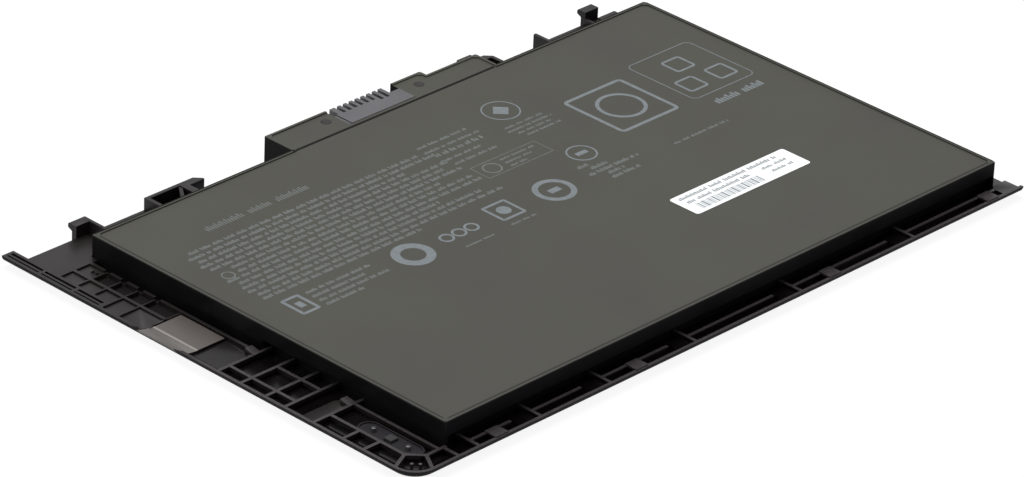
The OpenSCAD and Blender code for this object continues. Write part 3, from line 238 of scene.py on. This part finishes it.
def flange_abs():
    """The skin's ABS: glossy in the cells between the ribs, where the polished core of the mould
    was, with painted shade that makes the cells nearly black, and a painted highlight that makes
    the front ribs' tops paler.

    A place on the height ramps is the height divided by their top. The low cells are beside
    the body and the deep ones ahead of it. The painted highlight is on the ribs' tops ahead of
    the finger scoop.
    """
    material, tree, place = start("skin_abs")
    axes = add(tree, "SeparateXYZ", {"Vector": place})
    cloud = add(tree, "TexNoise", {"Vector": place, "Scale": per_mm(14), "Detail": 3})
    plain = add(tree, "ValToRGB", {"Fac": cloud.outputs["Fac"]},
                ((0.35, "#151212"), (0.65, "#1b1717")))
    height = add(tree, "MapRange", {"Value": axes.outputs["Z"], "From Min": 0.0,
                                    "From Max": HEIGHT_RAMP_TOP * MM})
    front = add(tree, "MapRange", {"Value": axes.outputs["Y"], "From Min": on_body(0, 0.5).y,
                                   "From Max": on_body(0, -0.1).y})
    ahead = add(tree, "MapRange", {"Value": axes.outputs["Y"], "From Min": on_body(0, 84).y,
                                   "From Max": on_body(0, 78).y})
    low = add(tree, "ValToRGB", {"Fac": height.outputs["Result"]},
              ((0.36, "#000000"), (0.38, "#ffffff"), (0.44, "#ffffff"), (0.56, "#000000")))
    deep = add(tree, "ValToRGB", {"Fac": height.outputs["Result"]},
               ((0.36, "#000000"), (0.38, "#ffffff"), (0.62, "#ffffff"), (0.7, "#000000")))
    cell = add(tree, "Mix", {"Factor": front.outputs["Result"], "A": low.outputs["Color"],
                             "B": deep.outputs["Color"]}, data_type="RGBA")
    top = add(tree, "ValToRGB", {"Fac": height.outputs["Result"]},
              ((0.735, "#000000"), (0.75, "#ffffff")))
    grain = add(tree, "TexNoise", {"Vector": place, "Scale": per_mm(0.9), "Detail": 3})
    # Painted highlight: the front ribs' tops are mixed towards a paler tone.
    top_highlight_mask = add(tree, "Math", {0: top.outputs["Color"], 1: ahead.outputs["Result"]},
               operation="MULTIPLY")
    top_highlight_tone = add(tree, "ValToRGB", {"Fac": grain.outputs["Fac"]},
                 ((0.3, "#252223"), (0.7, "#353132")))
    # Painted shade: the cells between the ribs are mixed towards near black.
    cells_shaded = add(tree, "Mix", {"Factor": cell.outputs["Result"], "A": plain.outputs["Color"],
                                "B": linear("#080607")}, data_type="RGBA")
    colour = add(tree, "Mix", {"Factor": top_highlight_mask.outputs["Value"], "A": cells_shaded.outputs["Result"],
                               "B": top_highlight_tone.outputs["Color"]}, data_type="RGBA")
    gloss = add(tree, "MapRange", {"Value": cell.outputs["Result"], "To Min": 0.34,
                                   "To Max": 0.16})
    sand = add(tree, "TexNoise", {"Vector": place, "Scale": per_mm(0.45), "Detail": 2})
    bump = add(tree, "Bump", {"Height": sand.outputs["Fac"], "Strength": 0.5,
                              "Distance": 0.012 * MM})
    finish(tree, {"Base Color": colour.outputs["Result"], "Roughness": gloss.outputs["Result"],
                  "Specular IOR Level": 0.17, "Normal": bump.outputs["Normal"]})
    return material


def scoop_abs():
    """The finger scoop's ABS, paler and smoother than the skin, with a painted highlight along
    its crease and painted shade at its outer edge.
    """
    material, tree, place = start("scoop_abs_painted_crease_light_edge_shade")
    axes = add(tree, "SeparateXYZ", {"Vector": place})
    across = add(tree, "MapRange", {"Value": axes.outputs["X"], "From Min": on_body(-19.5, 0).x,
                                    "From Max": on_body(-3.8, 0).x})
    # The bright stop at the crease is a painted highlight, and the dark first stops are painted
    # shade at the outer edge.
    tone = add(tree, "ValToRGB", {"Fac": across.outputs["Result"]},
               ((0.0, "#171412"), (0.028, "#1d1a18"), (0.06, "#38332f"), (0.12, "#433e3a"),
                (0.275, "#413c38"), (0.313, "#827b76"), (0.35, "#433d3a"), (1.0, "#413b38")))
    rub = add(tree, "TexNoise", {"Vector": place, "Scale": per_mm(2.5), "Detail": 4})
    bump = add(tree, "Bump", {"Height": rub.outputs["Fac"], "Strength": 0.3,
                              "Distance": 0.02 * MM})
    gloss = add(tree, "MapRange", {"Value": rub.outputs["Fac"], "To Min": 0.28, "To Max": 0.42})
    finish(tree, {"Base Color": tone.outputs["Color"], "Roughness": gloss.outputs["Result"],
                  "Specular IOR Level": 0.35, "Normal": bump.outputs["Normal"]})
    return material


# Black ABS: the polished pips catch the light, the outside is dull, the pocket's floor satin.
skin_plastic = flange_abs()
scoop_plastic = scoop_abs()
polished_skin = moulded_plastic("skin_abs_polished", "#1c1a1a", "#242121",
                                rough=0.12, shine=0.6, depth=0.002)
outer_skin = moulded_plastic("skin_abs_outside", "#1c1a1b", "#222021", rough=0.6, shine=0.03)
pocket_skin = moulded_plastic("skin_abs_foot_pocket", "#151316", "#1a181b", rough=0.42, shine=0.1)
# Black polycarbonate: softly glossy, and nearly without gloss on two walls.
cover_plastic = moulded_plastic("cover_polycarbonate", "#0b0a0c", "#100f10",
                                rough=0.3, shine=0.12, grain=0.4, depth=0.004)
matte_cover = moulded_plastic("cover_polycarbonate_matte", "#0d0c0e", "#121113",
                              rough=0.5, shine=0.03, grain=0.4, depth=0.004)
# Glass-filled nylon: an even dark grey, paler than the cover around it.
connector_plastic = moulded_plastic("connector_nylon", "#3d3c40", "#454448",
                                    rough=0.5, shine=0.4, grain=0.3, depth=0.008)
# Epoxy and ceramic: dull black chips, glossy blue beads and matte tan chips.
chip_resin = moulded_plastic("chip_epoxy", "#161617", "#1e1e20",
                             rough=0.5, shine=0.4, grain=0.2, depth=0.006)
dipped_resin = moulded_plastic("bead_epoxy_blue", "#18244a", "#1e2c58",
                               rough=0.2, shine=0.5, grain=1.0, depth=0.02)
fired_ceramic = moulded_plastic("chip_ceramic", "#a08a62", "#b59a6a",
                                rough=0.45, shine=0.5, grain=0.2, depth=0.01)
# Rubber: dull and dark, with glossy ends where the pegs are pressed flat, painted paler there as
# a highlight.
foot_rubber = moulded_plastic("foot_rubber", "#1c1c1d", "#242425",
                              rough=0.75, shine=0.3, grain=0.5, depth=0.03)
peg_rubber_glint = moulded_plastic("foot_rubber_glossy_pegs_painted_glint", "#3a3a3c", "#464648",
                             rough=0.14, shine=0.7, grain=0.5, depth=0.004)
# Polyester film: olive grey on the label, with painted shade in its crease and gap, white on the
# sticker.
label_film = printed_film("label_polyester", "#35342f", "#3c3c36", rough=0.5, shine=0.14)
crease_shade_film = printed_film("label_polyester_crease_shade", "#22211f", "#282724",
                            rough=0.55, shine=0.1)
gap_shade_film = printed_film("label_polyester_gap_shade", "#0c0b0a", "#12110f", rough=0.6, shine=0.05)
sticker_film = printed_film("sticker_polyester_white", "#dcdfe0", "#e4e7e8",
                            rough=0.5, shine=0.3)
# Ink: a greyed white that hardly stands out, weaker still in the rows of small blocks.
mark_ink = screen_ink("label_ink", "#5c6265", "#656b6e")
line_ink = screen_ink("label_ink_fine", "#505452", "#5c605f")
sticker_ink = screen_ink("sticker_ink_grey", "#70757a", "#7c8184")
# Rolled metal: pale red copper, white aluminium, warm grey nickel and yellow gold plate.
copper_tab = rolled_metal("tab_copper_nickel", "#b98f66", "#cda880", rough=0.32, along=1)
aluminium_tab = rolled_metal("tab_aluminium", "#b6babd", "#cfd2d5", rough=0.3, along=1)
nickel_strip = rolled_metal("strip_nickel", "#a5a196", "#bdb9ab", rough=0.3, along=0)
plated_contact = rolled_metal("contact_gold_plate", "#b58f3e", "#d3ad57", rough=0.25, along=2)
# Sheets inside the pack: cloudy white tape, dark open foam and cream fibre paper.
tissue_tape = soft_sheet("tape_tissue", "#cfcdc4", "#dedcd4", fibre=0.5, rough=0.7, depth=0.02)
cell_foam = soft_sheet("foam_polyurethane", "#29292b", "#3c3c3f",
                       fibre=0.35, rough=0.95, depth=0.12)
fibre_paper = soft_sheet("insulator_fibre_paper", "#dcd5bf", "#e9e3d0",
                         fibre=0.3, rough=0.8, depth=0.02)
laminate = pouch_laminate()
board_mask = solder_mask()
polyimide = amber_polyimide()

# Every node that no name here begins is a chip on the board.
FINISH_BY_START = (
    ("bottom_case", skin_plastic), ("top_cover", cover_plastic), ("label_film", label_film),
    ("white_sticker", sticker_film), ("rubber_foot", foot_rubber), ("cell_tape", tissue_tape),
    ("cell", laminate), ("negative_tab", copper_tab), ("positive_tab", aluminium_tab),
    ("link_strip", nickel_strip), ("negative_end", nickel_strip),
    ("positive_end", nickel_strip), ("thermal_cutoff", chip_resin), ("foam_pad", cell_foam),
    ("tab_insulator", fibre_paper), ("board_tape", polyimide), ("thermistor", dipped_resin),
    ("protection_board", board_mask), ("chip_fuse", fired_ceramic),
    ("small_capacitors", fired_ceramic), ("connector_body", connector_plastic),
    ("contact", plated_contact),
)
for name, node in nodes.items():
    found = [m for begin, m in FINISH_BY_START if name.startswith(begin)]
    node.data.materials.clear()
    node.data.materials.append(found[0] if found else chip_resin)


def new_piece(name, mesh_maker, finishes):
    """Makes an object from a bmesh; it rides on the pack's one body."""
    mesh = bpy.data.meshes.new(name)
    mesh_maker.to_mesh(mesh)
    mesh_maker.free()
    for material in finishes:
        mesh.materials.append(material)
    piece = bpy.data.objects.new(name, mesh)
    scene.collection.objects.link(piece)
    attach(piece, "root")
    return piece


# Mouldings with rounded edges

SHARP = math.radians(32)
PLAIN, SCOOP, POLISHED, OUTSIDE, POCKET = range(5)
MATTE, PEG = 1, 1


def rounded_copy(node, name, finishes, radius, choose=None):
    """A copy of a CAD node, merged, with its sharp edges rounded by a small radius."""
    shape = bmesh.new()
    shape.from_mesh(nodes[node].data)
    bmesh.ops.remove_doubles(shape, verts=shape.verts, dist=0.0005 * MM)
    bmesh.ops.dissolve_limit(shape, angle_limit=math.radians(1), verts=shape.verts,
                             edges=shape.edges)
    for face in shape.faces:
        face.material_index = choose(face) if choose else PLAIN
        face.smooth = face.material_index != POCKET
    piece = new_piece(name, shape, finishes)
    piece.data.set_sharp_from_angle(angle=SHARP)
    edge = piece.modifiers.new("edge_radius", "BEVEL")
    edge.width = radius * MM
    edge.segments = 2
    edge.limit_method = "ANGLE"
    edge.angle_limit = SHARP
    edge.harden_normals = True
    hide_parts(node)


# Ranges in x, y and z, in millimetres from the body's corner and the floor
SCOOP_BOX = ((-19.6, -3.5), (85.2, 110.5), (2.3, 3.5))
SCOOP_FLAT_REAR = 104.6
SCOOP_FLAT_LOW = 3.2
POCKET_BOX = ((-11.9, -4.3), (1, 25.4), (2.5, 3.4))
PIPS = ((-14.2, -1.2), (-12.5, -2.9), (-5.4, 138.9), (-5.6, 140.6))
PIP_REACH = 0.7
HOUSING_FRONT = 147
FOOT_CENTRE = (-8.1, 13.2)
PEG_FROM_CENTRE = 6.9
PEG_REACH = 0.9


def within(places, box):
    """Whether all the places lie in a box of three ranges."""
    return all(low < value < high for p in places for value, (low, high) in zip(p, box))


def skin_faces(face):
    """What faces down or out, the finger scoop's flat and slope, the pips, and the floor of
    the foot's pocket have finishes of their own."""
    if face.normal.z < -0.05:
        return OUTSIDE
    places = [(v.co - on_body(0, 0)) / MM for v in face.verts]
    slope = 0.9 < face.normal.z < 0.995
    flat = face.normal.z > 0.995 and all(p.z > SCOOP_FLAT_LOW and p.y < SCOOP_FLAT_REAR
                                         for p in places)
    if within(places, SCOOP_BOX) and (slope or flat):
        return SCOOP
    if any(all(math.hypot(p.x - x, p.y - y) < PIP_REACH for p in places) for x, y in PIPS):
        return POLISHED
    if face.normal.z > 0.9 and within(places, POCKET_BOX):
        return POCKET
    return PLAIN


def cover_faces(face):
    """The long front wall and the housing's left wall are matte, the others softly glossy."""
    rear = min(v.co.y for v in face.verts) > on_body(0, HOUSING_FRONT).y
    return MATTE if face.normal.y < -0.9 or (rear and face.normal.x < -0.9) else PLAIN


def foot_faces(face):
    """The ends of the foot's two pegs are glossy and painted paler as a highlight."""
    places = [(v.co - on_body(*FOOT_CENTRE)) / MM for v in face.verts]
    on_peg = all(math.hypot(p.x, abs(p.y) - PEG_FROM_CENTRE) < PEG_REACH for p in places)
    return PEG if on_peg else PLAIN


rounded_copy("bottom_case", "moulded_skin",
             [skin_plastic, scoop_plastic, polished_skin, outer_skin, pocket_skin],
             0.12, skin_faces)
rounded_copy("top_cover", "moulded_cover", [cover_plastic, matte_cover], 0.12,
             cover_faces)
rounded_copy("connector_body", "moulded_connector", [connector_plastic],
             0.1)
rounded_copy("rubber_foot", "moulded_foot", [foot_rubber, peg_rubber_glint], 0.25,
             foot_faces)

# Print: flat shapes laid on the film, then thickened to a layer of ink

INK = 0.015
BLOCK_HEIGHTS = (0.74, 1.0, 0.74, 0.74, 1.0, 0.66, 1.0)


class Print:
    """Collects flat shapes on one surface; sizes are in millimetres from an origin."""

    def __init__(self, origin, z):
        self.shape = bmesh.new()
        self.origin = origin
        self.z = z

    def move(self, x, y, width, depth, turn=0.0):
        """Where a unit shape goes."""
        return (Matrix.Translation((self.origin.x + x * MM, self.origin.y + y * MM, self.z))
                @ Matrix.Rotation(turn, 4, "Z")
                @ Matrix.Diagonal((width * MM, depth * MM, 1, 1)))

    def bar(self, x0, y0, x1, y1, turn=0.0, corner=0.0):
        """A plain bar between two corners."""
        made = bmesh.ops.create_grid(
            self.shape, x_segments=1, y_segments=1, size=0.5,
            matrix=self.move((x0 + x1) / 2, (y0 + y1) / 2, x1 - x0, y1 - y0, turn))
        if corner:
            made = bmesh.ops.bevel(self.shape, geom=made["verts"], offset=corner * MM,
                                   segments=5, profile=0.5, affect="VERTICES", material=-1)
        return made["verts"][0].link_faces[0]

    def disc(self, x, y, radius):
        """A filled circle."""
        made = bmesh.ops.create_circle(
            self.shape, cap_ends=True, segments=56, radius=radius * MM,
            matrix=self.move(x, y, 1 / MM, 1 / MM))
        return made["verts"][0].link_faces[0]

    def hollow(self, face, width):
        """Leaves only an outline of that width of a bar or disc."""
        bmesh.ops.inset_region(self.shape, faces=[face], thickness=width * MM,
                               use_boundary=True, use_even_offset=True)
        bmesh.ops.delete(self.shape, geom=[face], context="FACES")

    def groups(self, x0, x1, y, height, lengths, gap=0.85, pace=0.62, ink=0.72):
        """A row of small plain blocks in groups.

        Pace is the blocks' step as a share of their height, and ink their width as a share
        of the step.
        """
        x, k, step = x0, 0, height * pace
        while x < x1 - step:
            end = min(x + lengths[k % len(lengths)], x1)
            while x < end - step / 2:
                tall = height * BLOCK_HEIGHTS[k % len(BLOCK_HEIGHTS)]
                self.bar(x, y, x + step * ink, y + tall)
                x, k = x + step, k + 1
            x, k = x + gap, k + 1

    def done(self, name, ink):
        """Makes the piece, with the thickness of its ink."""
        piece = new_piece(name, self.shape, [ink])
        layer = piece.modifiers.new("ink_layer", "SOLIDIFY")
        layer.thickness = INK * MM
        layer.offset = 1


def label_marks():
    """Plain rings, boxes, discs and bars on the label."""
    page = Print(on_body(0, 0), field_top)
    page.hollow(page.bar(13.6, 71.2, 20.8, 81.6, corner=0.8), 1.1)
    page.bar(16, 74.8, 18.4, 78)
    page.hollow(page.disc(63.1, 76.3, 6.8), 2.9)
    for x in (77.7, 82.9, 88.1):
        page.hollow(page.disc(x, 77, 2.5), 0.8)
    page.hollow(page.bar(97.9, 73, 107.9, 83.2, corner=0.9), 1.0)
    page.disc(102.9, 78.1, 2.4)
    page.hollow(page.disc(123.6, 77, 6.9), 1.9)
    page.bar(121.4, 75.8, 125.8, 78.2)
    page.hollow(page.disc(148.8, 124.4, 6.3), 0.5)
    page.bar(146.4, 122, 151.2, 126.8, turn=math.radians(45))
    page.hollow(page.disc(147.2, 88.3, 5), 0.6)
    page.bar(144.9, 87.4, 149.5, 89.3)
    page.hollow(page.bar(166.5, 89, 192.5, 115.5, corner=2.0), 1.3)
    page.hollow(page.disc(179.5, 102.2, 8.2), 1.3)
    page.hollow(page.bar(199.5, 89.7, 227.7, 119.4, corner=2.4), 0.35)
    for x, y in ((206.8, 98), (220.4, 98), (213.6, 110)):
        page.hollow(page.bar(x - 4.2, y - 4.2, x + 4.2, y + 4.2, corner=1.4), 0.9)
    page.groups(203.4, 225, 82.9, 3.2, (9.8, 9.8), gap=2.0, pace=0.4)
    page.done("label_marks", mark_ink)


# The body, its raised rim and the connector's housing, in millimetres as on_body counts
RIM = 1.15
BODY_LENGTH = 238.0
BODY_WIDTH = 147.4
HOUSING_START = 82.65
HOUSING_END = 169.25
HOUSING_REAR = 158.45
BAY_START = 107.0
# Where each long row of blocks starts and ends, and how far from the front it stands
LONG_ROWS = (
    (13.5, 108, 119.2), (11, 113, 116.4), (12.2, 98, 113.5), (10.6, 112.6, 110.7),
    (11.8, 109, 107.9), (17.5, 113.2, 105.1), (17.5, 101, 102.2), (10.6, 111.4, 99.4),
    (12.6, 113, 96.5), (11.2, 92, 93.7), (10.8, 107, 90.9), (12, 113.3, 88), (11.4, 76, 85.3),
)
# Lengths of the groups of blocks, for four rows in turn
GROUPS = (
    (4.2, 2.4, 6.1, 1.8, 5.2, 3.1), (6.6, 2.1, 3.8, 5.4, 1.7), (2.9, 5.7, 4.4, 1.9, 7.0, 3.3),
    (5.1, 1.6, 3.6, 6.2, 2.6),
)


def label_lines():
    """Rows of small plain blocks on the label, a box and two rings."""
    page = Print(on_body(0, 0), field_top)
    for row, (x0, x1, y) in enumerate(LONG_ROWS):
        page.groups(x0, x1, y, 1.6, GROUPS[row % 4], pace=0.5)
    page.groups(27.8, 69.4, 126.4, 2.8, (15.6, 9.5, 14.2), gap=2.2, pace=0.36, ink=0.5)
    page.hollow(page.disc(13.6, 103, 2.2), 0.45)
    for row, end in enumerate((50, 44, 51, 38)):
        page.groups(23, end, 79.6 - row * 2.9, 1.5, GROUPS[row], pace=0.5)
    for row, (x0, end) in enumerate(((111, 132), (110.6, 134), (112, 133), (110.6, 128),
                                     (113, 131))):
        page.groups(x0, end, 122.4 - row * 3.6, 1.9 if row == 2 else 1.3, GROUPS[row % 4])
    page.hollow(page.bar(114.1, 95, 142, 103.6, corner=0.5), 0.25)
    page.hollow(page.disc(119.6, 99.3, 3.2), 0.5)
    for row in range(3):
        page.groups(125, 139.5 - 3 * row, 101 - row * 2.4, 1.0, GROUPS[row])
    for row, (x0, end) in enumerate(((141, 157), (140, 159), (142, 156), (143.5, 158))):
        page.groups(x0, end, 114.4 - row * 2.4, 1.1, GROUPS[row])
    for row, (x0, end) in enumerate(((139, 144), (142, 150), (138.5, 160), (144, 151),
                                     (143, 155))):
        page.groups(x0, end, 81.2 - row * 2.7, 1.7, GROUPS[row % 4], pace=0.5)
    page.groups(98, 108.5, 69.6, 1.1, GROUPS[0])
    page.groups(78, 90, 68.9, 0.9, GROUPS[1])
    page.groups(173, 197.6, 73.2, 1.2, GROUPS[2])
    page.done("label_lines", line_ink)


def film_crease_shade():
    """Painted shade in the crease where the film is pressed into the foot of the rim."""
    page = Print(on_body(0, 0), field_top)
    right, rear = BODY_LENGTH - RIM, BODY_WIDTH - RIM
    near, far = 0.95, 0.2
    page.bar(RIM, RIM + near, RIM + near, rear - far)
    page.bar(RIM, RIM, right, RIM + near)
    page.bar(right - far, RIM + near, right, rear)
    page.bar(RIM, rear - far, HOUSING_START, rear)
    page.bar(HOUSING_END, rear - far, right - far, rear)
    page.bar(HOUSING_START, BODY_WIDTH, HOUSING_START + far, HOUSING_REAR - far)
    page.bar(HOUSING_START, HOUSING_REAR - far, BAY_START, HOUSING_REAR)
    page.z = rim_top
    page.bar(RIM - far, RIM, RIM, rear)
    page.bar(RIM, RIM - far, right, RIM)
    page.done("film_crease_shade", crease_shade_film)


def film_gap_shade():
    """Painted shade: the dark line along the rim's outer side, behind the label and on its right,
    and the one between the label and the housing."""
    page = Print(on_body(0, 0), rim_top)
    inset, width = 0.12, 0.5
    right, rear = BODY_LENGTH - inset, BODY_WIDTH - inset
    page.bar(right - width, 1, right, rear - 1)
    page.bar(1, rear - width, HOUSING_START - 0.5, rear)
    page.bar(HOUSING_END + 0.5, rear - width, right - width, rear)
    page.z = field_top
    page.bar(HOUSING_START + 0.6, BODY_WIDTH - RIM, HOUSING_END - 0.6, BODY_WIDTH - 0.05)
    page.done("film_gap_shade", gap_shade_film)


STRIPES = (0.3, 0.55, 0.35, 0.8, 0.3)
STRIPE_GAPS = (0.35, 0.5, 0.4)


def sticker_print():
    """Blocks and upright stripes of plain grey in the sticker's rows."""
    page = Print(sticker_low, sticker_high.z)
    for x0, x1, y, height, lengths, gap in (
            (2.2, 45.5, 9.1, 1.6, (12.5, 7.2, 9.4, 5.1), 1.1),
            (2.8, 31.5, 6.3, 1.6, (3.4, 11.8, 6.1), 1.0),
            (36, 47, 6.3, 1.4, (4.4, 5.4), 0.9), (37.5, 47, 3.4, 1.4, (6.2, 2.0), 0.9)):
        page.groups(x0, x1, y, height, lengths, gap, pace=0.55)
    x, last, k = 4.2, 32, 0
    while x < last:
        width = STRIPES[k % len(STRIPES)]
        page.bar(x, 1.4, x + width, 5.2)
        x, k = x + width + STRIPE_GAPS[k % len(STRIPE_GAPS)], k + 1
    page.done("sticker_print", sticker_ink)


def rounded_sticker():
    """The white sticker with the rounded corners of a die-cut label."""
    low, high = sticker_low, sticker_high
    shape = bmesh.new()
    made = bmesh.ops.create_grid(
        shape, x_segments=1, y_segments=1, size=0.5,
        matrix=Matrix.Translation(((low.x + high.x) / 2, (low.y + high.y) / 2, low.z))
        @ Matrix.Diagonal((high.x - low.x, high.y - low.y, 1, 1)))
    bmesh.ops.bevel(shape, geom=made["verts"], offset=1.0 * MM, segments=6, profile=0.5,
                    affect="VERTICES", material=-1)
    piece = new_piece("die_cut_sticker", shape, [sticker_film])
    layer = piece.modifiers.new("film", "SOLIDIFY")
    layer.thickness = high.z - low.z
    layer.offset = 1
    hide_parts("white_sticker")


label_marks()
label_lines()
film_crease_shade()
film_gap_shade()
rounded_sticker()
sticker_print()

# Floor, light and camera


def seen_ray(tree):
    """1 for a ray from the camera, a reflection or through glass, and 0 for every other."""
    rays = add(tree, "LightPath").outputs
    seen = add(tree, "Math", {0: rays["Is Camera Ray"], 1: rays["Is Glossy Ray"]},
               operation="ADD")
    seen = add(tree, "Math", {0: seen.outputs["Value"], 1: rays["Is Transmission Ray"]},
               operation="ADD", use_clamp=True)
    return seen.outputs["Value"]


def pale_ground(name, glow_share):
    """White to the camera and in reflections, and a pale matte sheet to every other ray.

    The glow's share stays below 1, so that the ground keeps the pack's shadow.
    """
    material, tree, _ = start(name)
    share = add(tree, "Math", {0: seen_ray(tree), 1: glow_share}, operation="MULTIPLY")
    matte = add(tree, "BsdfDiffuse", {"Color": linear("#f2f2f2")})
    glow = add(tree, "Emission", {"Color": linear("#ffffff"), "Strength": 1.0})
    mix = add(tree, "MixShader", {0: share.outputs["Value"], 1: matte.outputs["BSDF"],
                                  2: glow.outputs["Emission"]})
    add(tree, "OutputMaterial", {"Surface": mix.outputs["Shader"]})
    return material


FLOOR_HALF = 6
SKY_LIGHT = 0.52

shape = bmesh.new()
bmesh.ops.create_grid(shape, x_segments=1, y_segments=1, size=FLOOR_HALF)
mesh = bpy.data.meshes.new("floor")
shape.to_mesh(mesh)
shape.free()
mesh.materials.append(pale_ground("pale_paper_sweep", 0.9))
floor = bpy.data.objects.new("floor", mesh)
scene.collection.objects.link(floor)

world = bpy.data.worlds.new("pale_studio")
world.use_nodes = True
tree = world.node_tree
tree.nodes.clear()
level = add(tree, "MapRange", {"Value": seen_ray(tree), "To Min": SKY_LIGHT, "To Max": 1.0})
sky = add(tree, "Background", {"Color": linear("#ffffff"), "Strength": level.outputs["Result"]})
add(tree, "OutputWorld", {"Surface": sky.outputs["Background"]})
scene.world = world


def softbox(name, place, size, power):
    """A square area lamp that faces the pack."""
    lamp = bpy.data.lights.new(name, "AREA")
    lamp.size = size
    lamp.energy = power
    holder = bpy.data.objects.new(name, lamp)
    holder.location = place
    holder.rotation_euler = (-Vector(place)).to_track_quat("-Z", "Y").to_euler()
    scene.collection.objects.link(holder)


softbox("softbox_over", (0.2, 0.5, 1.7), 1.4, 36)
softbox("softbox_left", (-1.5, 0.6, 1.0), 0.9, 8)

# The photo's viewpoint: what it looks at, the way back from there, and the lens in millimetres
TARGET = Vector((-0.02025, -0.01524, 0.011))
BACK = Vector((-0.64273, -0.60200, 0.47381)).normalized()
DISTANCE = 1.7604
ROLL = math.radians(2.603)
SENSOR_WIDTH = 36
FOCAL_LENGTH = 209.28

ahead = -BACK
level_right = ahead.cross(Vector((0, 0, 1))).normalized()
level_up = level_right.cross(ahead)
right = math.cos(ROLL) * level_right + math.sin(ROLL) * level_up
up = -math.sin(ROLL) * level_right + math.cos(ROLL) * level_up
lens = bpy.data.cameras.new("camera")
lens.sensor_fit = "HORIZONTAL"
lens.sensor_width = SENSOR_WIDTH
lens.lens = FOCAL_LENGTH
camera = bpy.data.objects.new("camera", lens)
turn = Matrix((right, up, BACK)).transposed().to_4x4()
camera.matrix_world = Matrix.Translation(TARGET + DISTANCE * BACK) @ turn
scene.collection.objects.link(camera)
scene.camera = camera

scene.view_settings.view_transform = "Standard"
